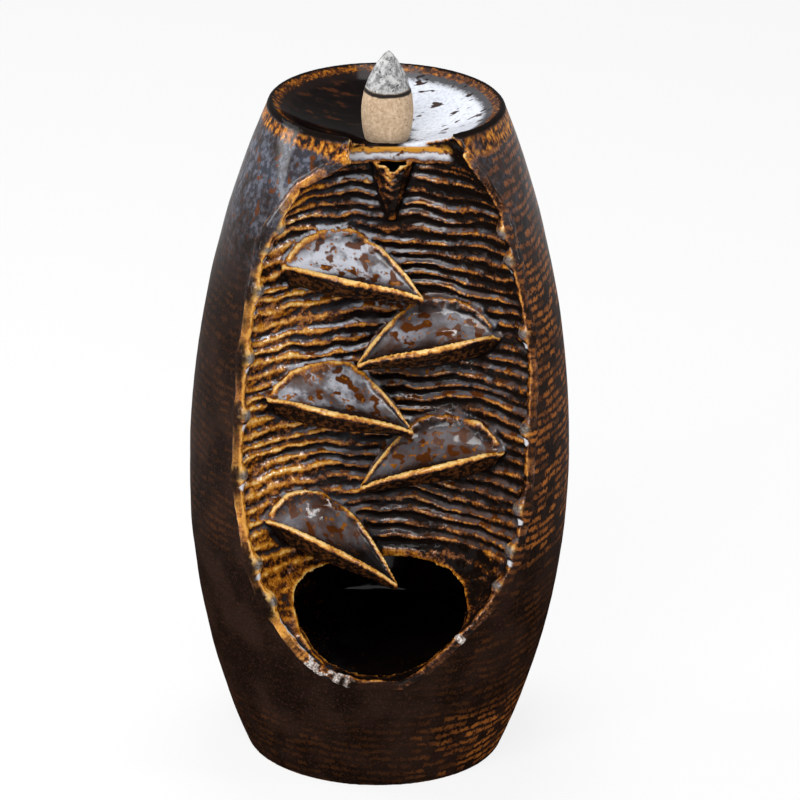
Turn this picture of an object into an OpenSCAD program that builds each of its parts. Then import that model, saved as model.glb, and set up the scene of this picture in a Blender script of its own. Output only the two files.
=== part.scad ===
// Waterfall incense burner with a bullet-shaped backflow cone standing in its dish.
// A slip-cast, hollow ceramic barrel. The front opens as an alcove whose back wall is
// a cliff of wavy strata with five leaf-shaped cups, over a window into a dark chamber.
// Lengths in millimetres. Origin at the centre of the base, z up, the front faces -y.
// Plan points are [x, forward], where forward is the distance towards the front.

/* [Barrel] */
// Height of the outer wall up to its rim
body_h = 183; // [176:0.5:190]
// Largest radius, at the belly
belly_r = 51.3; // [50:0.1:53]
// Height of the belly above the base
belly_z = 81; // [76:0.5:86]
// Radius of the base
base_r = 34.6; // [33:0.1:37]
// Radius of the outer wall at its rim
rim_r = 31.6; // [31:0.1:33]
// Thickness of the cast wall
wall_t = 4.6; // [4:0.1:5.2]
// Radius of the rolled rim around the dish
rim_roll_r = 1.5; // [1.3:0.1:1.8]

/* [Dish and smoke hole] */
// Depth of the flat floor of the dish below the top of the outer wall
dish_depth = 7.6; // [7:0.1:8.5]
// Radius of the flat part of the dish floor
dish_flat_r = 9; // [8.6:0.1:10]
// Radius of the round bowl of the dish
dish_curve_r = 56; // [54:0.5:60]
// Thickness of the slab under the dish, seen as the bridge at the front
dish_slab_t = 4.7; // [4.2:0.1:5.2]
// How far the bridge reaches forward of the axis
bridge_fwd = 12.6; // [12.4:0.1:13.4]
// Radius of the rounded lip on the top edge of the bridge
bridge_lip_r = 0.9; // [0.7:0.1:1.1]
// Diameter of the smoke hole under the cone
smoke_hole_d = 5; // [4:0.2:6]
// Distance of the smoke hole forward of the axis
smoke_hole_fwd = 5.5; // [5:0.1:6]

/* [Cliff] */
// Distance of the cliff forward of the axis at the top, under the bridge
cliff_top_fwd = 9; // [8.6:0.2:10]
// Distance of the cliff forward of the axis near the window
cliff_low_fwd = 17; // [16:0.2:18]
// How square the hollow of the cliff is across its width
hollow_power = 2.3; // [2:0.1:2.8]
// Height of one stratum of rock
stratum_h = 3.25; // [3.25:0.05:4]
// How far the crests stand forward of the mean cliff face
crest_out = 0.75; // [0.4:0.05:0.9]
// How deep the grooves go behind the mean cliff face
groove_in = 0.85; // [0.4:0.05:1]
// How far the strata wander up and down along their length
strata_wave = 0.9; // [0.4:0.1:1.1]

/* [Alcove edge] */
// Radius of the raised bead along the edge of the alcove
bead_r = 1.45; // [1.3:0.05:1.6]
// How much thicker the bead is at its knobs
knob_out = 0.95; // [0.6:0.05:1.2]
// Length of bead that one knob takes, as half its width
knob_half = 2.6; // [2.4:0.1:3]

/* [Cups] */
// Radius of the rolled front edge of a cup
cup_roll = 0.9; // [0.7:0.05:1.1]
// Depth of the bowl of a cup below the line between its edges
cup_sag = 4.2; // [3.4:0.1:4.8]
// Height of the underside of a cup, below its front edge
cup_drop = 8.4; // [7.6:0.1:9]

/* [Chute] */
// Width of the funnel-shaped chute at its top
chute_w = 13.8; // [13:0.2:14.6]
// Height of the chute below the bridge
chute_h = 17; // [15:0.5:18]
// Thickness of the wall of the chute
chute_t = 1.5; // [1.3:0.1:1.8]

/* [Chamber and base] */
// Height of the chamber floor
chamber_floor_z = 20; // [19:0.5:22]
// Radius of the round between the chamber floor and its wall
chamber_round_r = 10; // [8:0.5:11]
// Thickness of the clay between the chamber ceiling and the underside of the bridge
ceiling_t = 6.7; // [6:0.1:10]
// Depth of the recess under the base
foot_recess_h = 14; // [12:0.5:15]
// Width of the foot ring that the burner rests on
foot_ring_w = 6; // [5:0.2:7]

/* [Incense cone] */
// Largest diameter of the cone
cone_d = 13.9; // [13:0.1:14.4]
// Height of that largest diameter above the base of the cone
cone_belly_z = 7.5; // [7:0.1:8]
// Radius of the curve of its side
cone_side_r = 25.9; // [25.6:0.1:27]
// Diameter of the worn tip
cone_tip_d = 0.9; // [0.6:0.1:1.4]
// Diameter of the blind bore in the cone
cone_bore_d = 2.6; // [2:0.1:3]
// Depth of the blind bore in the cone
cone_bore_h = 12; // [8:0.5:14]

/* [Hidden] */

// Number of strips across the cliff
strips = 16;
// Step from the outer surface down to the cliff, under the bead
edge_step = 0.9;
// Height of one band of the turned side, which follows its arcs
band_h = 5;
// Length of one straight piece of the bead
bead_step = 5;
// How far forward the cutters run, clear of the front of the barrel
front_fwd = 62;
// How far past the edge of the alcove the wall behind the cliff runs
block_reach = 1.18;
// Part of a stratum over which it rises to its crest
crest_part = 0.64;
// Height over which the first and last strata are evened out
calm_h = 6;

// Two arcs, tangent at the belly, make the side of the barrel.
low_arc_r = arc_radius(belly_r - base_r, belly_z);
top_arc_r = arc_radius(belly_r - rim_r, body_h - belly_z);

// Heights that hang from the rim
dish_floor_z = body_h - dish_depth;
bridge_low_z = dish_floor_z - dish_slab_t;
chamber_top_z = bridge_low_z - ceiling_t;

// The heights in the lists below are drawn for a body of this height, and grow with it.
drawn_h = 183;
grow = body_h / drawn_h;

// Edge of the alcove: [height, left x, right x]
edge_drawn = [
    [34.7, -6.5, 4.5], [36.2, -12, 7.2], [39, -18.4, 11.6], [42.5, -22.4, 15.4],
    [46, -25.4, 18.8], [50, -28.4, 22.8], [54.5, -31.2, 27.4], [60, -33.8, 31.8],
    [67, -36.2, 34.7], [77.5, -38.3, 36.9], [89, -39.7, 38.1], [102.5, -39.4, 38.4],
    [116.5, -38.8, 38.8], [127.5, -37.8, 38.1], [141, -35.9, 35.3], [153, -33.6, 32.7],
    [162.5, -28.5, 29.9], [170, -24.2, 25.7], [175.7, -16.6, 21.9], [179, -11.3, 19.6],
    [183, -11.1, 16.4], [190, -11.1, 12]
];

// Knobs on the bead: heights on the left edge and on the right edge
left_drawn = [158, 152, 140.5, 122.5, 107, 90.5, 66, 56];
right_drawn = [156.5, 149, 129, 103.5, 81.5, 70, 60.5];

// Cups: [wall tip x, wall tip z, spout x, spout z, forward reach, back rise]
cups_drawn = [
    [-28, 144.5, 9.2, 137, 30.5, 8.6],
    [30, 125.4, -7.4, 119, 32, 8.4],
    [-31.4, 108.4, 7, 100.6, 34, 8.8],
    [31.8, 94.2, -6.2, 84.6, 34, 8.4],
    [-31.4, 75, 3.6, 57, 35.5, 9.4]
];

// Window into the chamber, seen from the front: [x, z] around its outline
window_drawn = [
    [-24, 52], [-22.4, 47], [-19, 42], [-14.5, 38.2], [-8.5, 35.9], [-0.5, 35.1],
    [6, 36.4], [12, 39.6], [17, 44], [20.6, 48], [22.6, 52.5], [21.8, 56.5],
    [18, 59], [10, 60], [0, 60], [-12, 59.4], [-20, 58], [-23.6, 55.6]
];

// Levels of the wall behind the cliff
block_drawn = [10, 22, 34, 42, 50, 60, 80, 100, 120, 140, 155, 166];

// Lowest level of the alcove, and the height at which its strata end above the window
alcove_z0 = edge_drawn[0][0] * grow;
strata_z0 = 60 * grow;

// Strata between there and the underside of the bridge
strata_top = bridge_low_z - 0.4;
strata_count = floor((strata_top - strata_z0) / stratum_h);
strata_step = (strata_top - strata_z0) / strata_count;

// Levels at which the edge of the alcove has a corner
levels = [for (row = edge_drawn) row[0] * grow];

// Place of the chute
chute_x = 1.3;
chute_fwd = cliff_top_fwd + 1.2;

function arc_radius(bulge, run) = (run * run + bulge * bulge) / (2 * bulge);
function mix(a, b, t) = a + (b - a) * t;
function clamp01(t) = min(1, max(0, t));
function ease(t) = clamp01(t) * clamp01(t) * (3 - 2 * clamp01(t));

// Radius of the outer wall at a height
function wall_r(z) = z < belly_z
    ? belly_r - low_arc_r + sqrt(pow(low_arc_r, 2) - pow(belly_z - z, 2))
    : belly_r - top_arc_r + sqrt(pow(top_arc_r, 2) - pow(z - belly_z, 2));
function wall_fwd(x, z) = sqrt(max(1, pow(wall_r(z), 2) - x * x));

// Edge of the alcove at a height; k picks the left (1) or right (2) side
function edge_x(z, k) = lookup(z, [for (row = edge_drawn) [row[0] * grow, row[k]]]);

// Mean depth of the cliff on its centre line, as a distance forward of the axis
function cliff_mid(z) =
    z > bridge_low_z ? bridge_fwd
    : z > strata_z0 ? mix(cliff_low_fwd, cliff_top_fwd,
        pow((z - strata_z0) / (bridge_low_z - strata_z0), 0.8))
    : mix(wall_r(max(z, alcove_z0)) - edge_step, cliff_low_fwd,
        ease((z - alcove_z0) / (strata_z0 - alcove_z0)));

// Smooth cliff surface at a place; it runs on outwards beyond the edge of the alcove
function cliff_fwd(x, z) = let(xl = edge_x(z, 1), xr = edge_x(z, 2),
    u = (2 * x - xl - xr) / (xr - xl), m = cliff_mid(z),
    side_fwd = wall_fwd(u < 0 ? xl : xr, z) - edge_step)
    m + (side_fwd - m) * pow(abs(u), z > bridge_low_z ? 2 * hollow_power : hollow_power);

// Skin over closed rings of points, all of the same count, with flat ends
module skin(rings) {
    count = len(rings[0]);
    last = len(rings) - 1;
    sides = [for (r = [0:last - 1], j = [0:count - 1], h = [0, 1])
        let(a = r * count + j, b = r * count + (j + 1) % count)
        h == 0 ? [a, b, b + count] : [a, b + count, a + count]];
    first_end = [[for (j = [count - 1:-1:0]) j]];
    last_end = [[for (j = [0:count - 1]) last * count + j]];
    polyhedron([for (ring = rings, p = ring) p], concat(first_end, sides, last_end));
}

// Half profile of the barrel, moved inwards by a wall thickness
module barrel_profile(inset, z0, z1) {
    count = ceil((z1 - z0) / band_h);
    side = [for (i = [0:count]) let(z = mix(z0, z1, i / count)) [wall_r(z) - inset, z]];
    polygon(concat([[0, z0]], side, [[0, z1]]));
}

module barrel() {
    rotate_extrude($fn = 96) barrel_profile(0, 0, body_h);
    translate([0, 0, body_h - 0.6]) rotate_extrude($fn = 96)
        translate([rim_r - rim_roll_r + 0.2, 0]) circle(rim_roll_r, $fn = 24);
}

// Round bowl of the dish, with a flat floor
module dish_space() {
    translate([0, 0, dish_floor_z]) cylinder(20, r = dish_flat_r, $fn = 96);
    intersection() {
        translate([0, 0, dish_floor_z + sqrt(pow(dish_curve_r, 2) - pow(dish_flat_r, 2))])
            sphere(dish_curve_r, $fn = 180);
        translate([0, 0, dish_floor_z]) cylinder(20, r = 40, $fn = 96);
    }
}

// Strata: between its grooves, each stratum rises to a crest near its top
function strength(u, z) = 0.64 + 0.36 * sin(42 * z + 210 * u) * cos(19 * z - 95 * u);
function rise_at(z) = z <= strata_z0 || z >= strata_top ? 0
    : let(t = (z - strata_z0) / strata_step, part = t - floor(t + 1e-6))
    part < crest_part ? mix(-groove_in, crest_out, part / crest_part)
    : mix(crest_out, -groove_in, (part - crest_part) / (1 - crest_part));
function wander(u, z) = ease((z - strata_z0) / calm_h) * ease((bridge_low_z - z) / calm_h)
    * (1 - pow(u, 4)) * strata_wave
    * (sin(170 * u + 6.1 * z) + 0.45 * sin(430 * u - 9 * z) + 0.3 * sin(730 * u + 4 * z));
function row_point(u, z_row) = let(z = z_row + wander(u, z_row),
    x = mix(edge_x(z_row, 1), edge_x(z_row, 2), (u + 1) / 2))
    [x, -(cliff_fwd(x, z) + rise_at(z_row) * strength(u, z_row)), z];

// Rows of the cliff: every level of its edge, and the grooves and crests between them
extra_rows = concat([for (i = [0:strata_count - 1], part = [0, crest_part])
    strata_z0 + strata_step * (i + part)], [strata_top, bridge_low_z, bridge_low_z + 0.12]);
function rows_between(k) = [for (z = extra_rows) if (z > levels[k] + 0.1 && z < levels[k + 1] - 0.1) z];
rows = concat([for (k = [0:len(levels) - 2], z = concat([levels[k]], rows_between(k))) z],
    [levels[len(levels) - 1]]);

// Space in front of the cliff: the carved face at the back, and the walls of the
// opening running straight out to the front, with one flat wall between two levels
module alcove_cutter() {
    across = strips + 1;
    row_count = len(rows);
    level_count = len(levels);
    face_points = [for (z = rows, j = [0:strips]) row_point(2 * j / strips - 1, z)];
    front_points = [for (k = [1, 2], z = levels) [edge_x(z, k), -front_fwd, z]];
    front_left = row_count * across;
    front_right = front_left + level_count;
    row_of = [for (z = levels) search(z, rows)[0]];
    face_tris = [for (i = [0:row_count - 2], j = [0:strips - 1], h = [0, 1])
        let(a = i * across + j, b = a + across) h == 0 ? [b, a, b + 1] : [b + 1, a, a + 1]];
    side_tris = [for (side = [0, 1], k = [0:level_count - 2])
        let(f = (side == 0 ? front_left : front_right) + k, column = side * strips,
            first = row_of[k], last = row_of[k + 1],
            fan = [for (i = [first:last - 1]) [f, (i + 1) * across + column, i * across + column]],
            list = concat(fan, [[f, f + 1, last * across + column]]))
        for (t = list) side == 1 ? t : [t[0], t[2], t[1]]];
    front_tris = [for (k = [0:level_count - 2], h = [0, 1])
        let(a = front_left + k, b = front_right + k) h == 0 ? [b, a, b + 1] : [b + 1, a, a + 1]];
    low_cap = concat([front_left, front_right], [for (j = [strips:-1:0]) j]);
    top_cap = concat([front_right + level_count - 1, front_left + level_count - 1],
        [for (j = [0:strips]) (row_count - 1) * across + j]);
    polyhedron(concat(face_points, front_points),
        concat(face_tris, side_tris, front_tris, [low_cap, top_cap]));
}

// The cliff wall and everything in front of it, which the chamber stays behind
module cliff_block() {
    rings = [for (z = block_drawn * grow)
        let(zc = max(z, alcove_z0 + 0.1), lower = min(z - alcove_z0, 0))
        concat([[60, -front_fwd, z], [-60, -front_fwd, z]],
            [for (j = [0:10]) let(u = (2 * j / 10 - 1) * block_reach,
                x = mix(edge_x(zc, 1), edge_x(zc, 2), (u + 1) / 2))
                [x, -(cliff_fwd(x, zc) - wall_t - lower), z]])];
    skin(rings);
}

// Hollow of the casting: its floor meets the wall in a round
module chamber_space() {
    corner = chamber_round_r;
    floor_r = wall_r(chamber_floor_z + corner) - wall_t - corner;
    round = [for (a = [0:22.5:90]) [floor_r + corner * sin(a), chamber_floor_z + corner * (1 - cos(a))]];
    count = ceil((chamber_top_z - chamber_floor_z - corner) / band_h);
    side = [for (i = [1:count])
        let(z = mix(chamber_floor_z + corner, chamber_top_z, i / count)) [wall_r(z) - wall_t, z]];
    difference() {
        rotate_extrude($fn = 96) polygon(concat([[0, chamber_floor_z]], round, side,
            [[0, chamber_top_z]]));
        cliff_block();
    }
}

module window_space() {
    rotate([90, 0, 0]) translate([0, 0, 6]) linear_extrude(front_fwd)
        polygon([for (p = window_drawn) [p[0], p[1] * grow]]);
}

function knob_bump(z, list) = max([for (k = list) exp(-pow((z - k * grow) / knob_half, 2))]);
function edge_point(z, k) = let(x = edge_x(z, k)) [x, -wall_fwd(x, z), z];

// Raised bead that follows the edge of the alcove, thicker at the knobs
module edge_bead() {
    up = [for (k = [0:len(levels) - 3]) let(n = ceil((levels[k + 1] - levels[k]) / bead_step))
        for (i = [0:n - 1]) mix(levels[k], levels[k + 1], i / n)];
    left = [for (i = [len(up) - 1:-1:0]) edge_point(up[i], 1)];
    right = [for (z = up) edge_point(z, 2)];
    path = concat(left, right);
    last = len(path) - 1;
    rings = [for (i = [0:last]) let(p = path[i], d = path[min(i + 1, last)] - path[max(i - 1, 0)],
        run = norm([d[0], d[2]]), side = [d[2], 0, -d[0]] / run,
        bump = knob_bump(p[2], i < len(left) ? left_drawn : right_drawn),
        r = bead_r * (1 + 0.12 * sin(i * 97)) + knob_out * bump)
        [for (a = [0:60:300]) p + side * (r * cos(a)) + [0, -r * sin(a), 0]]];
    skin(rings);
}

// One leaf-shaped cup, lofted from its wall tip to its spout: a rolled lip in front,
// a round underside, and a bowl that rises to the back
function cup_shape(s) = pow(max(sin(180 * s), 0), 0.6);
function cup_bulge(s) = max(sin(180 * pow(s, 0.8)), 0);
function cup_ring(cup, s) = let(
    x = mix(cup[0], cup[2], s),
    w = max(cup_shape(s), 0.12),
    z_line = grow * mix(cup[1], cup[3], pow(s, 1.25)) + 1.8 * sin(180 * s),
    wall = cliff_fwd(x, z_line),
    tip_fwd = cliff_fwd(cup[0], cup[1] * grow) + 2,
    spout_fwd = cup[4] - 5,
    belly_fwd = cup[4] - mix(tip_fwd, spout_fwd, 0.5),
    front = mix(tip_fwd, spout_fwd, s) + belly_fwd * w * 0.9 * sin(180 * pow(s, 0.9)),
    lift = clamp01((s - 0.6) / 0.4),
    close = clamp01(1 - s / 0.2),
    back = wall + 1 + (front - wall - 2.6) * max(pow(lift, 1.5), close * close),
    root = mix(wall - 3, front - 2.4, pow(clamp01((s - 0.78) / 0.22), 1.5)),
    z_back = z_line + cup[5] * pow(cup_bulge(s), 0.8),
    drop = 1.6 + (cup_drop - 1.6) * pow(cup_bulge(s), 0.6),
    sag = cup_sag * w,
    roll = cup_roll * mix(0.45, 1, w))
    [for (p = [
        [front + 0.35 * roll, z_line - 0.5 * roll],
        [front - 0.5 * roll, z_line + roll],
        [front - 1.9 * roll, z_line + 0.1 * roll],
        [mix(back, front, 0.62), mix(z_back, z_line, 0.62) - sag * 0.95],
        [mix(back, front, 0.34), mix(z_back, z_line, 0.34) - sag],
        [mix(back, front, 0.12), mix(z_back, z_line, 0.12) - sag * 0.5],
        [back + 0.3 * roll, z_back + 0.2 * roll],
        [back - 0.8 * roll, z_back],
        [min(root, back - roll), z_back - 1.6 * w - 0.3],
        [root, z_line - drop],
        [mix(root, front, 0.5), z_line - drop * 0.98],
        [mix(root, front, 0.84), z_line - drop * 0.62],
        [front - 0.9 * roll, z_line - 2.1 * roll]
    ]) [x, -p[0], p[1]]];

module leaf_cup(cup) {
    rings = [for (s = [0, 0.06, 0.16, 0.3, 0.44, 0.58, 0.7, 0.81, 0.91, 1]) cup_ring(cup, s)];
    skin(cup[0] < cup[2] ? rings : [for (i = [len(rings) - 1:-1:0]) rings[i]]);
}

// Funnel-shaped gutter under the bridge; its two lips run together in a point
module chute() {
    difference() {
        translate([chute_x, -chute_fwd, bridge_low_z + 0.3 - chute_h]) intersection() {
            rotate([-4, 0, 0]) cylinder(chute_h + 2, 1.1, chute_w / 2, $fn = 48);
            translate([-20, -4.4, 0]) cube([40, 20, chute_h]);
        }
        chute_channel();
    }
}

// Groove down the gutter, and the smoke hole that opens into it
module chute_channel() {
    translate([chute_x, -chute_fwd - 0.4, bridge_low_z - chute_h + 1.2]) rotate([-4, 0, 0])
        cylinder(chute_h - 0.9, 0.3, chute_w / 2 - chute_t, $fn = 48);
    translate([0, -smoke_hole_fwd, bridge_low_z - 3]) cylinder(30, d = smoke_hole_d, $fn = 32);
}

// Rounded lip on the top edge of the bridge
module bridge_lip() {
    translate([-11.6, -bridge_fwd + 0.2, dish_floor_z]) rotate([0, 90, 0])
        cylinder(28, r = bridge_lip_r, $fn = 24);
}

module cast_shell() {
    difference() {
        barrel();
        alcove_cutter();
        window_space();
        chamber_space();
        dish_space();
        chute_channel();
        translate([0, 0, -1]) cylinder(foot_recess_h + 1, r = base_r - foot_ring_w, $fn = 96);
    }
}

module burner_body() {
    color("#3a2312") union() {
        cast_shell();
        edge_bead();
        for (cup = cups_drawn) leaf_cup(cup);
        chute();
        bridge_lip();
    }
}

module incense_cone() {
    half = cone_d / 2;
    tip_x = cone_tip_d / 2 + cone_side_r - half;
    cone_h = cone_belly_z + sqrt(pow(cone_side_r, 2) - pow(tip_x, 2));
    color("#c9a27c") translate([0, -smoke_hole_fwd, dish_floor_z]) difference() {
        rotate_extrude($fn = 64) intersection() {
            translate([half - cone_side_r, cone_belly_z]) circle(cone_side_r, $fn = 360);
            square([half + 1, cone_h]);
        }
        translate([0, 0, -1]) cylinder(cone_bore_h + 1, d = cone_bore_d, $fn = 32);
    }
}

burner_body();
incense_cone();
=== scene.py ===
"""Dresses the waterfall incense burner: a glazed body with a carved alcove, and its burning cone."""

import math

import bmesh
import bpy
import numpy as np
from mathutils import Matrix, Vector


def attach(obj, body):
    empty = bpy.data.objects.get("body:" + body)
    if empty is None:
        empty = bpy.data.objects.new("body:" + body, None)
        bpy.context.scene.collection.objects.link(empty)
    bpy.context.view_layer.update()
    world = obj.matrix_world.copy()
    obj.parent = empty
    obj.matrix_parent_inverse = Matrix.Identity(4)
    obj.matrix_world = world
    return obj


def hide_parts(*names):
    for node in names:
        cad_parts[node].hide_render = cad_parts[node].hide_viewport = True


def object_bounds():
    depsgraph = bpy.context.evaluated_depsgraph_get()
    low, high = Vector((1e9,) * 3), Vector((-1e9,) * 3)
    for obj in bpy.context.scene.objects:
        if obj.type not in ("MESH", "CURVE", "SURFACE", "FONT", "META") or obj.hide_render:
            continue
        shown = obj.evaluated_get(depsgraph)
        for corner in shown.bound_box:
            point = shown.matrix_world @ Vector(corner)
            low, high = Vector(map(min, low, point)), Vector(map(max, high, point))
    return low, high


MM = 0.001

# Main sizes of the turned body, as in the part's source, in millimetres
BODY_H = 183.0
BELLY_R = 51.3
BELLY_Z = 81.0
BASE_R = 34.6
RIM_R = 31.6
DISH_FLOOR_Z = 175.4
BRIDGE_LOW_Z = 170.7
STRATA_LOW_Z = 60.0
BRIDGE_T = 4.7

# Fineness of the two meshes: voxels in millimetres, and the most triangles on the body
BODY_VOXEL = 0.55
CONE_VOXEL = 0.30
BODY_TRIANGLES = 192000

# Unevenness of the hand-made clay and glaze, in millimetres
LUMP = 0.26
KNOB_RISE = 1.4
FLAKE_RISE = 0.35
GLAZE_SAG = 0.12

# The combed rows outside: their step, and the length of a dash at the mean radius, in millimetres
ROW_STEP = 2.4
DASH_LENGTH = 4.2
MEAN_R = 46.0

# Where the ash begins on the cone, in millimetres above the dish floor
ASH_START = 14.1

# The floor's radius in metres, its grey, and how much of it the camera sees as plain white
FLOOR_RADIUS = 1.6
FLOOR_GREY = (0.86, 0.86, 0.86, 1)
FLOOR_WHITE = 0.84
SOFT_LIGHT = (0.20, 0.20, 0.21, 1)
WHITE = (1, 1, 1, 1)

# The photograph's view in degrees, the camera's distance in metres and its lens in millimetres
VIEW_RISE = 22.0
VIEW_TURN = 3.4
VIEW_LEAN = 1.2
VIEW_DISTANCE = 2.0
VIEW_LENS = 334.0

# Edge of the alcove as (height, left x, right x), and the heights of the knobs on its bead
EDGE = ((34.7, -6.5, 4.5), (36.2, -12, 7.2), (39, -18.4, 11.6), (42.5, -22.4, 15.4), (46, -25.4, 18.8),
        (50, -28.4, 22.8), (54.5, -31.2, 27.4), (60, -33.8, 31.8), (67, -36.2, 34.7), (77.5, -38.3, 36.9),
        (89, -39.7, 38.1), (102.5, -39.4, 38.4), (116.5, -38.8, 38.8), (127.5, -37.8, 38.1),
        (141, -35.9, 35.3), (153, -33.6, 32.7), (162.5, -28.5, 29.9), (170, -24.2, 25.7),
        (175.7, -16.6, 21.9))
LEFT_KNOBS = (158, 152, 140.5, 122.5, 107, 90.5, 66, 56)
RIGHT_KNOBS = (156.5, 149, 129, 103.5, 81.5, 70, 60.5)

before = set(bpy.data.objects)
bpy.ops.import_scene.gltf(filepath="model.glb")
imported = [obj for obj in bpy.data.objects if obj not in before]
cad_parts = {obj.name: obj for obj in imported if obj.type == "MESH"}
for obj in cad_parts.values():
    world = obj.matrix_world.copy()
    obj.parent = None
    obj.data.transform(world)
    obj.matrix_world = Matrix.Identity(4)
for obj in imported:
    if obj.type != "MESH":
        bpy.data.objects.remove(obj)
cad_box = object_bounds()
body_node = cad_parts["burner_body"]
cone_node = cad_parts["incense_cone"]


# Meshes

def merged_copy(node, name):
    """A copy of a CAD node's mesh, with its loose triangles joined."""
    bm = bmesh.new()
    bm.from_mesh(node.data)
    bmesh.ops.remove_doubles(bm, verts=bm.verts, dist=1e-6)
    mesh = bpy.data.meshes.new(name)
    bm.to_mesh(mesh)
    bm.free()
    obj = bpy.data.objects.new(name, mesh)
    bpy.context.scene.collection.objects.link(obj)
    return obj


def baked_mesh(obj):
    """The object's mesh with its modifiers applied; the modifiers go."""
    graph = bpy.context.evaluated_depsgraph_get()
    mesh = bpy.data.meshes.new_from_object(obj.evaluated_get(graph))
    obj.modifiers.clear()
    return mesh


def swap_mesh(obj, mesh):
    old = obj.data
    obj.data = mesh
    bpy.data.meshes.remove(old)


def remesh(obj, voxel):
    mod = obj.modifiers.new("voxels", "REMESH")
    mod.mode = "VOXEL"
    mod.voxel_size = voxel
    swap_mesh(obj, baked_mesh(obj))


def points_of(mesh):
    co = np.empty(len(mesh.vertices) * 3, np.float32)
    mesh.vertices.foreach_get("co", co)
    return co.reshape(-1, 3).astype(float)


def normals_of(mesh):
    no = np.empty(len(mesh.vertices) * 3, np.float32)
    mesh.vertex_normals.foreach_get("vector", no)
    return no.reshape(-1, 3).astype(float)


def set_points(mesh, co):
    mesh.vertices.foreach_set("co", co.astype(np.float32).ravel())
    mesh.update()


def relaxed_points(obj, times):
    """Where the vertices would lie after smoothing, without moving them."""
    mod = obj.modifiers.new("smooth", "SMOOTH")
    mod.factor = 0.5
    mod.iterations = times
    mesh = baked_mesh(obj)
    co = points_of(mesh)
    bpy.data.meshes.remove(mesh)
    return co


def store(mesh, name, values):
    layer = mesh.attributes.new(name, "FLOAT", "POINT")
    layer.data.foreach_set("value", np.asarray(values, np.float32))


def shade_smooth(mesh):
    mesh.polygons.foreach_set("use_smooth", np.ones(len(mesh.polygons), bool))
    mesh.update()


def ease(t):
    t = np.clip(t, 0, 1)
    return t * t * (3 - 2 * t)


def hash01(a, b):
    """A fixed pseudo-random number from 0 to 1 for each pair of whole numbers."""
    s = np.sin(a * 12.9898 + b * 78.233) * 43758.5453
    return s - np.floor(s)


def value_noise(x, y, z):
    """Smooth noise from -1 to 1 with a cell of one unit."""
    xi, yi, zi = np.floor(x), np.floor(y), np.floor(z)
    xf, yf, zf = ease(x - xi), ease(y - yi), ease(z - zi)
    total = 0
    for dx in (0, 1):
        for dy in (0, 1):
            for dz in (0, 1):
                weight = (xf if dx else 1 - xf) * (yf if dy else 1 - yf) * (zf if dz else 1 - zf)
                total = total + weight * hash01(xi + dx + 57 * (zi + dz), yi + dy + 31 * (zi + dz))
    return 2 * total - 1


def wall_radius(z):
    """Radius of the turned outside at a height, from its two arcs."""
    low = ((BELLY_R - BASE_R) ** 2 + BELLY_Z ** 2) / (2 * (BELLY_R - BASE_R))
    run = BODY_H - BELLY_Z
    top = ((BELLY_R - RIM_R) ** 2 + run ** 2) / (2 * (BELLY_R - RIM_R))
    arc = np.where(z < BELLY_Z, low, top)
    return BELLY_R - arc + np.sqrt(np.maximum(arc ** 2 - (z - BELLY_Z) ** 2, 0))


# Glazed body

def edge_points(z, side):
    """Places on the edge of the alcove, on the turned outside; side is 1 for left and 2 for right."""
    rows = np.array(EDGE)
    x = np.interp(z, rows[:, 0], rows[:, side])
    return np.stack([x, -np.sqrt(wall_radius(z) ** 2 - x ** 2), z], axis=1)


def nearness(points, path, reach):
    """1 on a place of the path, falling off to 0 a few times the reach away."""
    best = np.full(len(points), 1e9)
    for place in path:
        best = np.minimum(best, ((points - place) ** 2).sum(axis=1))
    return np.exp(-best / reach ** 2)


def cliff_forward(x, z):
    """How far forward of the axis the mean face of the cliff lies, as in the part's source."""
    rows = np.array(EDGE)
    left, right = np.interp(z, rows[:, 0], rows[:, 1]), np.interp(z, rows[:, 0], rows[:, 2])
    across = (2 * x - left - right) / (right - left)
    upper = 17 - 8 * np.clip((z - STRATA_LOW_Z) / (BRIDGE_LOW_Z - STRATA_LOW_Z), 0, 1) ** 0.8
    foot = ease((z - EDGE[0][0]) / (STRATA_LOW_Z - EDGE[0][0]))
    lower = (wall_radius(z) - 0.9) * (1 - foot) + 17 * foot
    middle = np.where(z > STRATA_LOW_Z, upper, lower)
    side = np.sqrt(np.maximum(wall_radius(z) ** 2 - np.where(across < 0, left, right) ** 2, 1)) - 0.9
    return middle + (side - middle) * np.minimum(np.abs(across), 1.2) ** 2.3


def swayed_points(obj):
    """The softened mesh's points, with the strata swaying up and down as a hand cuts them."""
    co = relaxed_points(obj, 2)
    x, y, z = (co / MM).T
    inside = ease((wall_radius(np.clip(z, 0, BODY_H)) - np.hypot(x, y) - 2.0) / 3.0) * ease((-y - 7) / 3)
    proud = -y - cliff_forward(x, z)
    inside = inside * ease((z - 60) / 6) * ease((168 - z) / 6) * (1 - ease((proud - 1.6) / 2.0))
    sway = value_noise(x / 9.0, 0.0, z / 7.0 + 3.0) + 0.5 * value_noise(x / 4.2, 0.0, z / 4.0)
    co[:, 2] += inside * sway * MM
    return co


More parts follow.
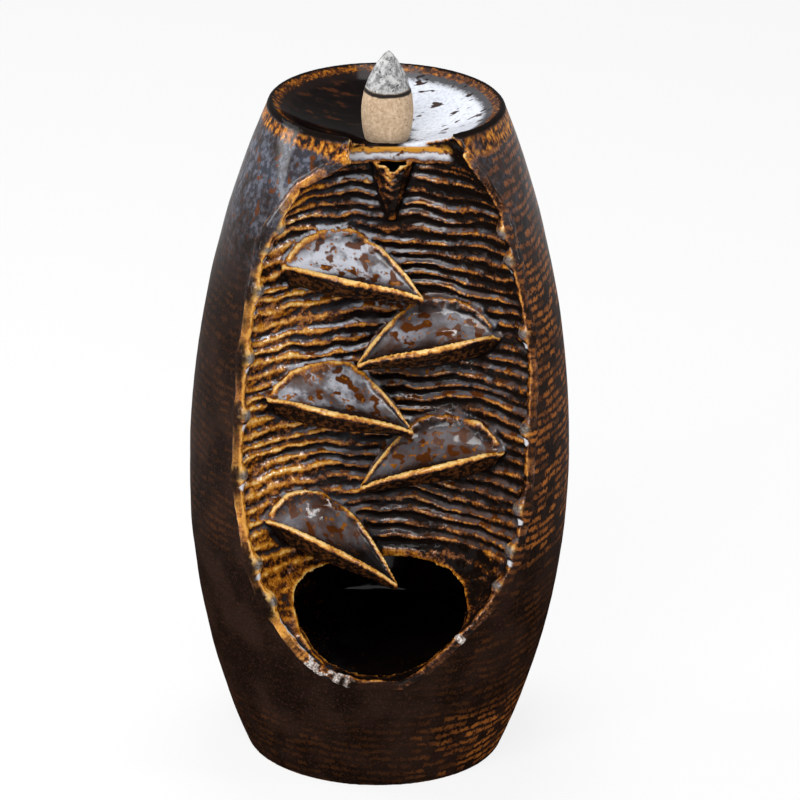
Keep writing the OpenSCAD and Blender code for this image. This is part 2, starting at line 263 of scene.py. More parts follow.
def edge_marks(p):
    """How near each point lies to the bead, to its knobs, to the painted highlights below the knobs and on
    the left lip, and to the flaked glaze.
    """
    heights = np.arange(EDGE[0][0], EDGE[-1][0], 0.9)
    bead, knob, painted_highlight, crust = (np.zeros(len(p)) for _ in range(4))
    front = np.nonzero(p[:, 1] < -8)[0]
    near = p[front]
    for side, knobs in ((1, LEFT_KNOBS), (2, RIGHT_KNOBS)):
        bead[front] = np.maximum(bead[front], nearness(near, edge_points(heights, side), 1.5))
        inward = 1.4 if side == 1 else -1.4
        places = edge_points(np.array(knobs, float), side) + np.array([inward, -0.6, 0])
        knob[front] = np.maximum(knob[front], nearness(near, places, 2.1))
        # Painted highlights: white spots a little below each knob
        highlight_spots = places + np.array([0.2 * inward, -0.6, -3.4])
        painted_highlight[front] = np.maximum(painted_highlight[front], nearness(near, highlight_spots, 1.6))
    # A painted highlight along the left lip, low down
    lip = edge_points(np.arange(43.0, 51.5, 0.6), 1) + np.array([1.4, 0, 0])
    painted_highlight[front] = np.maximum(painted_highlight[front], nearness(near, lip, 0.9))
    flaking = np.concatenate([edge_points(np.arange(35.2, 41.5, 0.5), 1), edge_points(np.array([47.4]), 2)])
    crust[front] = nearness(near, flaking, 1.5)
    x, y, z = p.T / 1.3
    return bead, knob, painted_highlight, crust * ease((value_noise(x, y, z) + 0.55) / 0.5)


def glazed_body():
    """The cast body: softened edges, uneven strata and beads, the glaze's thick and thin places, and where
    shade, sheen and highlights are painted.
    """
    obj = merged_copy(body_node, "glazed_body")
    remesh(obj, BODY_VOXEL * MM)
    mesh = obj.data
    co = swayed_points(obj)
    set_points(mesh, co)
    no = normals_of(mesh)
    p = co / MM
    x, y, z = p.T
    radius, wall = np.hypot(x, y), wall_radius(np.clip(z, 0, BODY_H))
    outward = (no[:, 0] * x + no[:, 1] * y) / np.maximum(radius, 1)
    outside = ease((radius - wall + 1.6) / 1.2) * ease(z + 1) * ease((outward - 0.2) / 0.4)
    carved = (1 - outside) * ease((-y - 6) / 3) * ease((z - 33) / 3)
    hidden = (radius < wall - 3.8) & (((y > 2) & (z < 166)) | (z < 33))
    bead, knob, painted_highlight, crust = edge_marks(p)
    proud = -y - cliff_forward(x, z)
    cup = carved * ease((proud - 2.0) / 1.5) * ease((162 - z) / 4) * (1 - ease((bead - 0.05) / 0.2))
    rise = np.einsum("ij,ij->i", co - relaxed_points(obj, 45), no) / MM
    lumps = 0.55 * value_noise(x / 2.6, y / 2.6, z / 1.5) + 0.45 * value_noise(x / 1.1, y / 1.1, z / 0.8)
    shift = carved * (LUMP * lumps * (1 - 0.6 * cup) + (0.35 + 0.4 * cup) * np.clip(rise, 0, 1.3))
    shift = shift + bead * (0.10 + 0.30 * value_noise(x / 2.8, y / 2.8, z / 2.8)) + KNOB_RISE * knob
    shift = shift + crust * FLAKE_RISE * (1 + value_noise(x / 0.9, y / 0.9, z / 0.9))
    shift = shift - outside * GLAZE_SAG * (1 + value_noise(x / 9, y / 9, z / 9))
    shift[hidden] = 0
    co = np.clip(co + no * (shift * MM)[:, None], *np.array(cad_box))
    set_points(mesh, co)
    no = normals_of(mesh)
    facing_up = no[:, 2]
    # Painted shade: faces turned down are darkened, and on the cups the lips' fronts too
    below = (1 - cup) * ease((-facing_up - 0.05) / 0.5) + cup * ease((0.45 - facing_up) / 0.8)
    bowl = (radius < RIM_R + 0.2) & (z > DISH_FLOOR_Z - 0.8) & (facing_up > 0.3)
    face = ease((-no[:, 1] - 0.55) / 0.25) * ease((z - BRIDGE_LOW_Z - 0.5) / 0.6)
    face = face * ease((DISH_FLOOR_Z + 0.6 - z) / 0.5) * ease((17 - np.abs(x)) / 1.5) * ease((20 + y) / 2)
    store(mesh, "crest", np.einsum("ij,ij->i", co - relaxed_points(obj, 5), no) / MM)
    store(mesh, "swell", np.einsum("ij,ij->i", co - relaxed_points(obj, 45), no) / MM)
    store(mesh, "outside", outside * (1 - ease((bead - 0.36) / 0.16)))
    store(mesh, "bead", bead)
    store(mesh, "knob", ease((knob - 0.50) / 0.2))
    store(mesh, "painted_highlight", painted_highlight)
    store(mesh, "crust", crust)
    store(mesh, "cup", cup)
    store(mesh, "chamber", hidden)
    store(mesh, "under", carved * below)
    store(mesh, "reach", np.clip(proud / 20.0, 0, 1))
    # Faces turned up: milky glaze with a painted sheen, and more shine
    store(mesh, "upward", carved * ease((facing_up - 0.25) / 0.4) * ease((z - 64) / 6))
    store(mesh, "dish", bowl)
    store(mesh, "bridge", face * (radius < 26) * carved)
    return obj


def thin_out(obj, triangles):
    """Brings the mesh down to about this many triangles."""
    count = sum(len(face.vertices) - 2 for face in obj.data.polygons)
    mod = obj.modifiers.new("fewer", "DECIMATE")
    mod.ratio = min(1.0, triangles / count)
    swap_mesh(obj, baked_mesh(obj))


# Finishes

class Finish:
    """A material and short ways to lay its nodes."""

    def __init__(self, name):
        self.mat = bpy.data.materials.new(name)
        self.mat.use_nodes = True
        self.tree = self.mat.node_tree
        self.tree.nodes.clear()
        self.out = self.add("ShaderNodeOutputMaterial")
        self.shader = self.add("ShaderNodeBsdfPrincipled")
        self.tree.links.new(self.shader.outputs[0], self.out.inputs[0])
        self.place = self.add("ShaderNodeTexCoord").outputs["Object"]

    def add(self, kind, **props):
        node = self.tree.nodes.new(kind)
        for key, value in props.items():
            setattr(node, key, value)
        return node

    def feed(self, socket, value):
        if isinstance(value, bpy.types.NodeSocket):
            self.tree.links.new(value, socket)
        else:
            socket.default_value = value

    def math(self, operation, a, b=0.0, c=0.0, clamp=False):
        node = self.add("ShaderNodeMath", operation=operation, use_clamp=clamp)
        for socket, value in zip(node.inputs, (a, b, c)):
            self.feed(socket, value)
        return node.outputs[0]

    def ramp(self, value, *stops):
        node = self.add("ShaderNodeValToRGB")
        band = node.color_ramp
        while len(band.elements) < len(stops):
            band.elements.new(0.5)
        for element, (at, colour) in zip(band.elements, stops):
            element.position = at
            element.color = (*colour, 1)
        self.feed(node.inputs[0], value)
        return node.outputs[0]

    def step(self, value, low, high, out_low=0.0, out_high=1.0):
        """Runs smoothly from out_low to out_high while the value goes from low to high."""
        node = self.add("ShaderNodeMapRange", interpolation_type="SMOOTHSTEP")
        for socket, number in zip(node.inputs, (value, low, high, out_low, out_high)):
            self.feed(socket, number)
        return node.outputs[0]

    def blend(self, share, a, b):
        node = self.add("ShaderNodeMix", data_type="RGBA")
        self.feed(node.inputs[0], share)
        self.feed(node.inputs[6], (*a, 1) if isinstance(a, tuple) else a)
        self.feed(node.inputs[7], (*b, 1) if isinstance(b, tuple) else b)
        return node.outputs[2]

    def over(self, axis, low_mm, high_mm, out_low=0.0, out_high=1.0):
        """The same, with its ends in millimetres along an axis of the body."""
        return self.step(axis, low_mm * MM, high_mm * MM, out_low, out_high)

    def swing(self, value, width):
        """Turns a value from 0 to 1 into one that swings this wide about 0."""
        return self.math("MULTIPLY_ADD", value, width, -width / 2)

    def grain(self, size_mm, detail=3.0, rough=0.55, stretch=(1, 1, 1)):
        """Noise from 0 to 1 with features of about this size, longer along an axis with a small stretch."""
        scale = self.add("ShaderNodeMapping")
        self.feed(scale.inputs[0], self.place)
        scale.inputs[3].default_value = stretch
        node = self.add("ShaderNodeTexNoise")
        self.feed(node.inputs["Vector"], scale.outputs[0])
        node.inputs["Scale"].default_value = 1000.0 / size_mm
        node.inputs["Detail"].default_value = detail
        node.inputs["Roughness"].default_value = rough
        return node.outputs["Fac"]

    def painted(self, name):
        return self.add("ShaderNodeAttribute", attribute_name=name).outputs["Fac"]

    def split(self):
        node = self.add("ShaderNodeSeparateXYZ")
        self.feed(node.inputs[0], self.place)
        return node.outputs

    def relief(self, height, depth_mm, normal=None):
        node = self.add("ShaderNodeBump")
        node.inputs["Strength"].default_value = 1.0
        node.inputs["Distance"].default_value = depth_mm * MM
        self.feed(node.inputs["Height"], height)
        if normal is not None:
            self.feed(node.inputs["Normal"], normal)
        return node.outputs[0]

    def set(self, **values):
        for key, value in values.items():
            self.feed(self.shader.inputs[key.replace("_", " ")], value)


# Colours of the glaze, the clay and the cone, and of the painted highlights, sheen and reflections
BLACK_BROWN = (0.0060, 0.0036, 0.0028)
DARK_BROWN = (0.022, 0.0100, 0.0048)
RED_BROWN = (0.110, 0.031, 0.0065)
AMBER = (0.38, 0.125, 0.010)
HONEY = (0.70, 0.31, 0.036)
PALE_HONEY = (0.88, 0.58, 0.20)
SLATE = (0.050, 0.052, 0.064)
BROWN_SLATE = (0.105, 0.062, 0.050)
MILK_AND_SHEEN = (0.62, 0.64, 0.71)
POOL_GREY = (0.16, 0.15, 0.165)
LIP_SHADOW = (0.020, 0.0095, 0.0065)
PATCH_BROWN = (0.070, 0.024, 0.007)
KNOB_DARK = (0.022, 0.020, 0.024)
KNOB_PALE = (0.12, 0.12, 0.135)
# White of the painted highlights
HIGHLIGHT_WHITE = (0.70, 0.71, 0.75)
BARE_CLAY = (0.20, 0.13, 0.10)
FLAKE_PALE = (0.74, 0.70, 0.66)
BRIDGE_GREY = (0.34, 0.34, 0.37)
BRIDGE_MILK_HIGHLIGHT = (0.66, 0.67, 0.72)
BRIDGE_WARM = (0.62, 0.60, 0.62)
WALL_DARK = (0.0080, 0.0044, 0.0030)
WALL_BROWN = (0.020, 0.0105, 0.0074)
WALL_FLECK = (0.050, 0.022, 0.015)
DASH_DARK = (0.08, 0.025, 0.009)
DASH_LIGHT = (0.34, 0.110, 0.022)
CLOUD_DARK = (0.034, 0.036, 0.048)
CLOUD_PALE_SHEEN = (0.115, 0.122, 0.155)
DISH_BLACK = (0.004, 0.002, 0.002)
DISH_STREAK = (0.055, 0.016, 0.005)
DISH_MARK = (0.03, 0.012, 0.008)
DISH_MILK_AND_REFLECTION_GREY = (0.50, 0.52, 0.58)
DISH_MILK_AND_REFLECTION_WHITE = (0.66, 0.69, 0.75)
DISH_BORDER = (0.012, 0.007, 0.006)
PASTE_DARK = (0.50, 0.35, 0.22)
PASTE_PALE = (0.68, 0.51, 0.35)
PASTE_SPECK = (0.25, 0.14, 0.07)
ASH_DARK = (0.17, 0.17, 0.17)
ASH_PALE = (0.55, 0.55, 0.54)
ASH_SPECK = (0.04, 0.04, 0.04)
CHAR = (0.012, 0.009, 0.008)


def combed_rows(f, axes, fine):
    """Rows of short ragged dashes round the outside: 1 on a dash, 0 between."""
    turn = f.math("ARCTAN2", axes[0], f.math("MULTIPLY", axes[1], -1.0))
    sway = f.math("MULTIPLY", f.math("SINE", f.math("MULTIPLY", turn, 3.0)), 0.18)
    level = f.math("MULTIPLY_ADD", axes[2], 1000.0 / ROW_STEP, sway)
    level = f.math("ADD", level, f.math("MULTIPLY", f.grain(9.0, 1.0), 1.1))
    row = f.math("FLOOR", level)
    across = f.math("ABSOLUTE", f.math("SUBTRACT", f.math("FRACT", level), 0.5))
    start = f.add("ShaderNodeTexWhiteNoise", noise_dimensions="1D")
    f.feed(start.inputs["W"], row)
    along = f.math("MULTIPLY_ADD", turn, MEAN_R / DASH_LENGTH, f.math("MULTIPLY", start.outputs[0], 7.0))
    cell = f.math("FLOOR", along)
    ends = f.math("ABSOLUTE", f.math("SUBTRACT", f.math("FRACT", along), 0.5))
    pair = f.add("ShaderNodeCombineXYZ")
    f.feed(pair.inputs[0], row)
    f.feed(pair.inputs[1], cell)
    pick = f.add("ShaderNodeTexWhiteNoise", noise_dimensions="2D")
    f.feed(pick.inputs["Vector"], pair.outputs[0])
    ragged = f.swing(fine, 0.9)
    dash = f.step(f.math("ADD", across, ragged), 0.36, 0.16)
    dash = f.math("MULTIPLY", dash, f.step(f.math("ADD", ends, ragged), 0.56, 0.30))
    return f.math("MULTIPLY", dash, f.step(pick.outputs[0], 0.10, 0.45))


def glaze_thinness(f, axes, fine, broad, speckle, mottle):
    """How thin the glaze lies on the carved parts, from 0 in a groove to 1 on a crest, lowered by painted
    shade on faces turned down and on the cups' lips.
    """
    cup, under = f.painted("cup"), f.painted("under")
    streak = f.grain(2.6, 2.0, 0.55, (0.32, 1, 1))
    thin = f.math("MULTIPLY_ADD", f.painted("crest"), 2.1, f.math("MULTIPLY", f.painted("swell"), 0.60))
    for noise, width in ((fine, 0.20), (streak, 0.50), (broad, 0.50)):
        thin = f.math("ADD", thin, f.swing(noise, width))
    off_cups = f.math("MULTIPLY_ADD", cup, -0.8, 1.0)
    side = f.math("MULTIPLY", f.over(axes[0], -27, -4, 0.18, -0.13), off_cups)
    thin = f.math("ADD", f.math("ADD", thin, side), f.math("MULTIPLY", cup, -0.06))
    thin = f.math("ADD", thin, f.over(axes[2], 40, 62, -0.10, 0.0))
    # Painted shade on faces turned down, away from the cups
    shade = f.math("MULTIPLY", under, f.math("MULTIPLY_ADD", cup, 0.34, -0.34))
    thin = f.math("ADD", f.math("ADD", thin, shade), 0.42)
    thin = f.math("ADD", thin, f.swing(speckle, 0.62))
    thin = f.math("ADD", thin, f.swing(mottle, 0.62), clamp=True)
    # Painted shade on the cups' lips and undersides, and darker mottled patches on the bead
    lip_shade_and_bead_patches = f.math("MULTIPLY", f.math("MULTIPLY", under, cup), -0.62)
    patches = f.math("MULTIPLY_ADD", mottle, -0.7, 0.05)
    lip_shade_and_bead_patches = f.math("MULTIPLY_ADD", f.painted("bead"), patches, lip_shade_and_bead_patches)
    return f.math("ADD", thin, lip_shade_and_bead_patches, clamp=True)


def milky_glaze_and_sheen(f, axes, broad, mottle):
    """Milky glaze with brown flecks and a painted sheen, weaker low down and to the right, and a painted
    shadow towards the cups' points.

    The second result is the share of that painted shadow.
    """
    share = f.math("MULTIPLY", f.over(axes[2], 60, 130, 0.35, 1.0), f.over(axes[0], 12, -12, 0.45, 1.0))
    # The first cup's upper left is whiter: a painted reflection
    upper_cup = f.math("MULTIPLY", f.over(axes[2], 134, 140), f.over(axes[0], -4, -14))
    cloud = f.step(f.math("MULTIPLY_ADD", upper_cup, 0.16, broad), 0.34, 0.60)
    cloud = f.math("MULTIPLY", share, cloud)
    milky = f.ramp(cloud, (0.0, BROWN_SLATE), (0.35, POOL_GREY), (0.95, MILK_AND_SHEEN))
    milky = f.blend(f.step(f.grain(3.2, 1.5, 0.5), 0.54, 0.60), milky, RED_BROWN)
    milky = f.blend(f.step(f.grain(1.8, 1.5, 0.5), 0.64, 0.70), milky, AMBER)
    # Painted shadow towards the cups' points
    dark = f.step(f.math("MULTIPLY_ADD", mottle, 0.22, f.painted("reach")), 0.50, 0.72)
    return f.blend(dark, milky, LIP_SHADOW), dark


def bridge_colour(f, axes):
    """The front of the bridge: amber and brown at its foot, milky glaze with a painted highlight in the
    middle, honey along the top.
    """
    rise = f.math("MULTIPLY_ADD", axes[2], 1 / (BRIDGE_T * MM), -BRIDGE_LOW_Z / BRIDGE_T)
    rise = f.math("ADD", rise, f.swing(f.grain(2.4, 2.0), 0.5))
    # The white band in the middle is partly milky glaze and partly a painted highlight
    face = f.ramp(rise, (0.04, DARK_BROWN), (0.12, AMBER), (0.24, RED_BROWN), (0.34, BRIDGE_GREY),
                  (0.50, BRIDGE_MILK_HIGHLIGHT), (0.62, BRIDGE_WARM), (0.70, BARE_CLAY), (0.82, HONEY))
    return f.blend(f.step(f.grain(2.6, 1.5, 0.5), 0.60, 0.66), face, RED_BROWN)


def carved_colour(f, axes, fine, broad, patch):
    """Amber on the crests, beads and lips, near black in the grooves, milky glaze with a painted sheen on
    faces turned up, painted shade on faces turned down.

    The other results are how thin the glaze lies, lowered by the painted shade, and how strongly it shines
    in the cups.
    """
    speckle, mottle = f.grain(0.55, 3.0, 0.7), f.grain(1.5, 3.0, 0.65)
    thin = glaze_thinness(f, axes, fine, broad, speckle, mottle)
    under, upward = f.painted("under"), f.painted("upward")
    runs = f.math("MULTIPLY", f.over(axes[0], 4, -20), f.step(patch, 0.42, 0.6))
    runs = f.math("MULTIPLY", runs, f.math("MULTIPLY_ADD", under, -1.0, 1.0))
    low = f.blend(f.math("MULTIPLY", runs, 0.5), BLACK_BROWN, SLATE)
    brown = f.math("MULTIPLY", f.step(mottle, 0.46, 0.62), f.math("MULTIPLY", under, f.painted("cup")))
    low = f.blend(brown, low, PATCH_BROWN)
    high = f.ramp(thin, (0.36, DARK_BROWN), (0.48, RED_BROWN), (0.64, AMBER), (0.84, HONEY),
                  (1.0, PALE_HONEY))
    colour = f.blend(f.step(thin, 0.22, 0.42), low, high)
    milky, dark = milky_glaze_and_sheen(f, axes, broad, mottle)
    # Milky glaze and painted sheen on faces turned up, in the cups and on the strata
    pool = f.math("MULTIPLY", upward, f.step(patch, 0.26, 0.48))
    pool = f.math("MULTIPLY", pool, f.step(thin, 0.56, 0.42))
    colour = f.blend(pool, colour, milky)
    dome = f.blend(f.step(fine, 0.35, 0.6), KNOB_DARK, KNOB_PALE)
    colour = f.blend(f.math("MULTIPLY", f.painted("knob"), 0.92), colour, dome)
    # Painted highlights below the knobs and on the left lip
    pale = f.math("ADD", f.painted("painted_highlight"), f.swing(mottle, 0.8))
    colour = f.blend(f.step(pale, 0.50, 0.75), colour, HIGHLIGHT_WHITE)
    flakes = f.blend(f.step(speckle, 0.40, 0.60), BARE_CLAY, FLAKE_PALE)
    colour = f.blend(f.step(f.painted("crust"), 0.30, 0.50), colour, flakes)
    wet = f.math("MULTIPLY", upward, f.math("MULTIPLY_ADD", dark, -0.45, 0.85))
    return f.blend(f.painted("bridge"), colour, bridge_colour(f, axes)), thin, wet


def wall_colour(f, axes, dash, fine, broad, patch):
    """Dark glaze with combed dashes to the right, and a cloudy shoulder, slate glaze with a painted sheen
    stronger to the left, under an amber rim.
    """
    ground = f.blend(f.step(patch, 0.35, 0.65), WALL_DARK, WALL_BROWN)
    ground = f.blend(f.step(f.grain(0.6, 3.0, 0.75), 0.52, 0.72), ground, WALL_FLECK)
    combed = f.math("MAXIMUM", f.over(axes[2], 58, 72), f.over(axes[2], 28, 14))
    combed = f.math("MAXIMUM", combed, 0.12)
    lit_side = f.math("MULTIPLY", f.over(axes[0], 4, 30, 0.08, 1.0), combed)
    mark = f.blend(f.step(broad, 0.3, 0.7), DASH_DARK, DASH_LIGHT)
    wall = f.blend(f.math("MULTIPLY", dash, lit_side), ground, mark)
    # Slate glaze with a painted sheen on the upper shoulder, stronger to the left
    cloud = f.math("MULTIPLY", f.over(axes[2], 135, 172), f.step(broad, 0.3, 0.62))
    cloud = f.math("MULTIPLY", cloud, f.over(axes[0], 30, -5, 0.3, 1.0))
    cloudy = f.blend(f.step(f.grain(1.6, 2.0), 0.42, 0.62), CLOUD_DARK, CLOUD_PALE_SHEEN)
    cloudy = f.blend(f.step(f.grain(2.2, 1.0, 0.5, (1, 1, 0.6)), 0.62, 0.67), cloudy, RED_BROWN)
    wall = f.blend(cloud, wall, cloudy)
    low_edge = f.over(axes[0], -22, -12, 0.1794, 0.1776)
    height = f.math("SUBTRACT", f.math("MULTIPLY_ADD", fine, 0.003, axes[2]), low_edge)
    band = f.math("MULTIPLY", f.over(height, 0.5, 2.2), f.over(axes[2], 182.8, 181.8))
    rice = f.ramp(f.grain(1.3, 2.0, 0.5, (1, 1, 0.6)), (0.38, BLACK_BROWN), (0.46, RED_BROWN),
                  (0.55, AMBER), (0.70, HONEY))
    return f.blend(f.math("MULTIPLY", band, f.step(patch, 0.24, 0.40)), wall, rice)


def dish_colour(f, axes, fine):
    """Brown and black streaks on the left of the dish, milky glaze and a painted reflection on the right,
    amber ring, black edge.

    The second result is the share of that milky glaze and painted reflection.
    """
    squares = [f.math("MULTIPLY", axis, axis) for axis in (axes[0], axes[1])]
    run = f.math("SQRT", f.math("ADD", *squares))
    streaks = f.grain(3.4, 3.0, 0.6, (0.40, 1, 1))
    left = f.ramp(streaks, (0.46, DISH_BLACK), (0.58, BLACK_BROWN), (0.68, DISH_STREAK),
                  (0.84, RED_BROWN))
    marks = f.step(f.grain(2.6, 2.0, 0.5, (0.45, 1, 1)), 0.61, 0.66)
    # Right side lighter: partly milky glaze, partly a painted reflection, with dark marks
    right = f.blend(f.step(fine, 0.25, 0.6), DISH_MILK_AND_REFLECTION_GREY, DISH_MILK_AND_REFLECTION_WHITE)
    right = f.blend(marks, right, DISH_MARK)
    edge = f.math("ADD", axes[0], f.swing(streaks, 0.020))
    white = f.over(edge, 2, 8)
    colour = f.blend(white, left, right)
    ring = f.math("ADD", run, f.swing(fine, 0.0024))
    amber_ring = f.ramp(f.grain(1.3, 3.0, 0.6), (0.38, DARK_BROWN), (0.5, RED_BROWN), (0.62, AMBER),
                        (0.8, HONEY))
    border = f.over(ring, 24.8, 26.8)
    white = f.math("MULTIPLY", white, f.math("MULTIPLY_ADD", border, -1.0, 1.0))
    colour = f.blend(f.math("MULTIPLY", border, 0.9), colour, DISH_BORDER)
    colour = f.blend(f.math("MULTIPLY", f.over(ring, 27.8, 28.6), 0.75), colour, amber_ring)
    return f.blend(f.over(ring, 29.7, 30.2), colour, BLACK_BROWN), white


def flowing_glaze():
    """Glaze that runs thin and amber over every crest and bead, and pools dark or milky between them, with
    painted shade, sheen, highlights and reflections.
    """
    f = Finish("flowing_glaze")
    axes = f.split()
    fine = f.grain(0.9, 2.0)
    broad = f.grain(6.0, 3.0)
    patch = f.grain(14.0, 2.0)
    outside = f.painted("outside")
    dish = f.painted("dish")
    dash = combed_rows(f, axes, fine)
    carved, thin, wet = carved_colour(f, axes, fine, broad, patch)
    colour = f.blend(outside, carved, wall_colour(f, axes, dash, fine, broad, patch))
    bowl, white = dish_colour(f, axes, fine)
    f.set(Base_Color=f.blend(dish, colour, bowl))
    f.set(Roughness=f.step(f.grain(5.0, 4.0), 0.3, 0.75, 0.25, 0.45))
    f.shader.inputs["Specular IOR Level"].default_value = 0.0
    wall_gloss = f.over(axes[2], 40, 110, 0.0, 0.07)
    for axis, low, high, most in ((axes[2], 120, 165, 0.22), (axes[1], 0, 30, 0.10)):
        wall_gloss = f.math("ADD", wall_gloss, f.over(axis, low, high, 0.0, most))
    carved_gloss = f.math("MAXIMUM", f.step(thin, 0.36, 0.62, 0.12, 0.8), wet)
    shine = f.math("MAXIMUM", f.painted("knob"), f.math("MULTIPLY", f.painted("chamber"), 0.6))
    gloss = f.blend(outside, f.math("MAXIMUM", carved_gloss, shine), wall_gloss)
    f.set(Coat_Weight=f.blend(dish, gloss, f.math("MULTIPLY_ADD", white, 0.42, 0.08)))
    f.shader.inputs["Coat Roughness"].default_value = 0.09
    fine_relief = f.relief(f.grain(1.0, 3.0, 0.6), 0.17)
    f.set(Normal=f.relief(f.math("MULTIPLY", dash, outside), 0.22, fine_relief))
    return f.mat


def burnt_cone():
    """Pressed wood paste with an ash tip and a thin charred line where it glows."""
    f = Finish("pressed_incense")
    axes = f.split()
    height = f.math("MULTIPLY_ADD", axes[2], 1000.0, -DISH_FLOOR_Z)
    wavy = f.math("ADD", height, f.swing(f.grain(4.0, 2.0), 0.8))
    paste = f.blend(f.step(f.grain(0.9, 3.0), 0.35, 0.7), PASTE_DARK, PASTE_PALE)
    paste = f.blend(f.step(f.grain(0.5, 1.0), 0.66, 0.72), paste, PASTE_SPECK)
    ash = f.blend(f.step(f.grain(1.6, 4.0, 0.65), 0.36, 0.62), ASH_DARK, ASH_PALE)
    ash = f.blend(f.step(f.grain(0.7, 1.0), 0.63, 0.7), ash, ASH_SPECK)
    colour = f.blend(f.step(wavy, ASH_START, ASH_START + 0.5), paste, ash)
    above, below = f.step(wavy, ASH_START - 1.1, ASH_START - 0.6), f.step(wavy, ASH_START + 0.5, ASH_START)
    line = f.math("MULTIPLY", above, below)
    colour = f.blend(line, colour, CHAR)
    f.set(Base_Color=colour, Roughness=0.9)
    f.shader.inputs["Specular IOR Level"].default_value = 0.25
    f.set(Normal=f.relief(f.grain(0.8, 4.0, 0.65), 0.18))
    return f.mat


# The cone, the floor, the lights and the camera

def ashen_cone():
    """The cone's own mesh made finer, with a crumbling tip."""
    obj = merged_copy(cone_node, "incense_cone_paste")
    remesh(obj, CONE_VOXEL * MM)
    mesh = obj.data
    co = relaxed_points(obj, 3)
    set_points(mesh, co)
    no = normals_of(mesh)
    x, y, z = (co / MM).T
    height = z - DISH_FLOOR_Z
    ash = ease(height - ASH_START + 0.5)
    rough = 0.05 + 0.05 * value_noise(x / 0.9, y / 0.9, z / 0.9)
    crumbled = 0.10 + 0.12 * value_noise(x / 2, y / 2, z / 2)
    shift = -rough * ease(height) - ash * crumbled
    set_points(mesh, co + no * (shift * MM)[:, None])
    return obj


def seen_directly(tree):
    """1 for what the camera sees, by itself, mirrored in a gloss or through glass; 0 for soft light."""
    path = tree.nodes.new("ShaderNodeLightPath")
    value = path.outputs["Is Camera Ray"]
    for name in ("Is Glossy Ray", "Is Transmission Ray"):
        either = tree.nodes.new("ShaderNodeMath")
        either.operation = "MAXIMUM"
        tree.links.new(value, either.inputs[0])
        tree.links.new(path.outputs[name], either.inputs[1])
        value = either.outputs[0]
    return value


def show_by_share(tree, share, soft, seen, out):
    """Joins two shaders to the output: the seen one by this share, the soft one for the rest."""
    both = tree.nodes.new("ShaderNodeMixShader")
    for value, socket in zip((share, soft.outputs[0], seen.outputs[0]), both.inputs):
        tree.links.new(value, socket)
    tree.links.new(both.outputs[0], out.inputs[0])


def plain_floor():
    """A broad pale table that keeps the shadow and shows white to the camera."""
    bm = bmesh.new()
    bmesh.ops.create_circle(bm, cap_ends=True, segments=96, radius=FLOOR_RADIUS)
    mesh = bpy.data.meshes.new("pale_table")
    bm.to_mesh(mesh)
    bm.free()
    obj = bpy.data.objects.new("pale_table", mesh)
    bpy.context.scene.collection.objects.link(obj)
    mat = bpy.data.materials.new("pale_table_top")
    mat.use_nodes = True
    tree = mat.node_tree
    tree.nodes.clear()
    matt = tree.nodes.new("ShaderNodeBsdfDiffuse")
    matt.inputs[0].default_value = FLOOR_GREY
    glow = tree.nodes.new("ShaderNodeEmission")
    glow.inputs[0].default_value = WHITE
    share = tree.nodes.new("ShaderNodeMath")
    share.operation = "MULTIPLY"
    share.inputs[1].default_value = FLOOR_WHITE
    tree.links.new(seen_directly(tree), share.inputs[0])
    show_by_share(tree, share.outputs[0], matt, glow, tree.nodes.new("ShaderNodeOutputMaterial"))
    mesh.materials.append(mat)
    return obj


def studio_world():
    """Even grey light, seen as white behind the object and in its reflections."""
    world = bpy.data.worlds.new("studio")
    bpy.context.scene.world = world
    world.use_nodes = True
    tree = world.node_tree
    tree.nodes.clear()
    dim, white = (tree.nodes.new("ShaderNodeBackground") for _ in range(2))
    dim.inputs[0].default_value = SOFT_LIGHT
    white.inputs[0].default_value = WHITE
    show_by_share(tree, seen_directly(tree), dim, white, tree.nodes.new("ShaderNodeOutputWorld"))


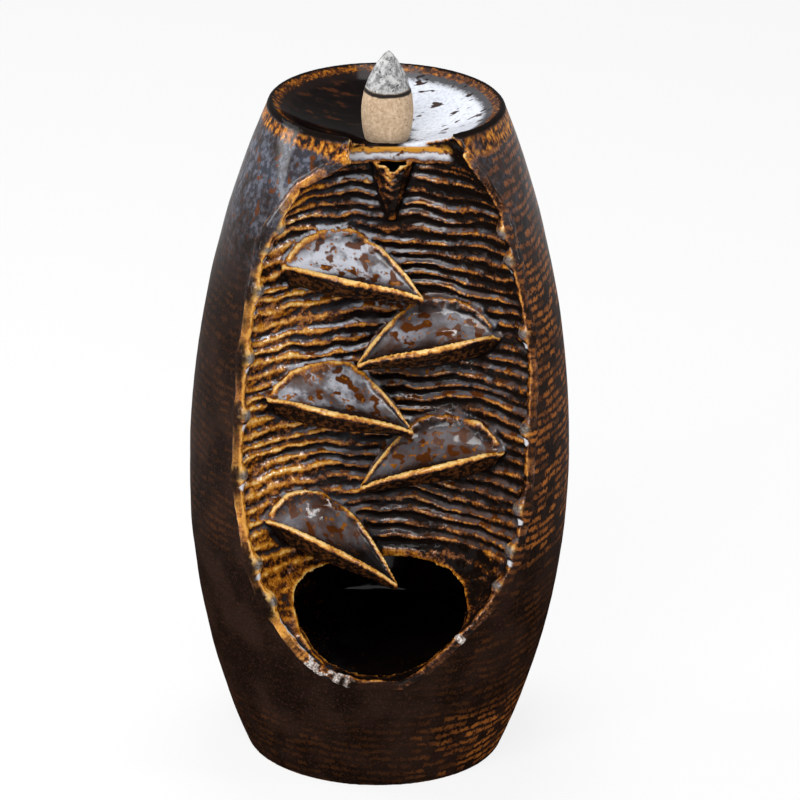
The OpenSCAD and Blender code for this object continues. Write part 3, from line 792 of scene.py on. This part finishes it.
def soft_box(name, place, aim_z, size, watts):
    """A rectangular lamp that looks at the body's axis at the height aim_z; all in metres."""
    light = bpy.data.lights.new(name, "AREA")
    light.shape = "RECTANGLE"
    light.size, light.size_y = size
    light.energy = watts
    obj = bpy.data.objects.new(name, light)
    bpy.context.scene.collection.objects.link(obj)
    obj.location = place
    obj.rotation_euler = (Vector((0, 0, aim_z)) - Vector(place)).to_track_quat("-Z", "Y").to_euler()


def photo_camera():
    """A long lens from the front, above and a little to the left, leaning as the photograph does."""
    rise, turn, lean = (math.radians(angle) for angle in (VIEW_RISE, VIEW_TURN, VIEW_LEAN))
    away = Vector((-math.sin(turn) * math.cos(rise), -math.cos(turn) * math.cos(rise), math.sin(rise)))
    right = away.cross(Vector((0, 0, 1))).normalized() * -1
    up = away.cross(right)
    tilted_up = up * math.cos(lean) - right * math.sin(lean)
    tilted_right = right * math.cos(lean) + up * math.sin(lean)
    centre = Vector((0, 0, 0.092)) + tilted_right * 0.0054 + tilted_up * 0.0059
    lens = bpy.data.cameras.new("photo_camera")
    lens.lens = VIEW_LENS
    lens.sensor_width = 36.0
    lens.clip_end = 20
    cam = bpy.data.objects.new("photo_camera", lens)
    bpy.context.scene.collection.objects.link(cam)
    matrix = cam.matrix_world.copy()
    for k in range(3):
        matrix[k][0] = tilted_right[k]
        matrix[k][1] = tilted_up[k]
        matrix[k][2] = away[k]
        matrix[k][3] = (centre + away * VIEW_DISTANCE)[k]
    cam.matrix_world = matrix
    bpy.context.scene.camera = cam


body = glazed_body()
thin_out(body, BODY_TRIANGLES)
shade_smooth(body.data)
body.data.materials.append(flowing_glaze())
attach(body, "root")
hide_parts("burner_body")

cone = ashen_cone()
shade_smooth(cone.data)
cone.data.materials.append(burnt_cone())
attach(cone, "root")
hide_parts("incense_cone")

plain_floor()
studio_world()
soft_box("left_box", (-0.8, 0.2, 0.42), 0.15, (0.35, 0.35), 3.9)
soft_box("top_box", (0.0, 0.15, 1.0), 0.1, (0.35, 0.25), 4.2)
soft_box("front_box", (-0.28, -0.80, 0.85), 0.1, (0.60, 0.40), 7.0)
soft_box("right_strip", (0.75, -0.35, 0.45), 0.1, (0.06, 0.5), 1.9)
soft_box("left_strip", (-0.62, -0.70, 0.30), 0.1, (0.05, 0.6), 1.5)
photo_camera()

bpy.context.scene.view_settings.view_transform = "Standard"
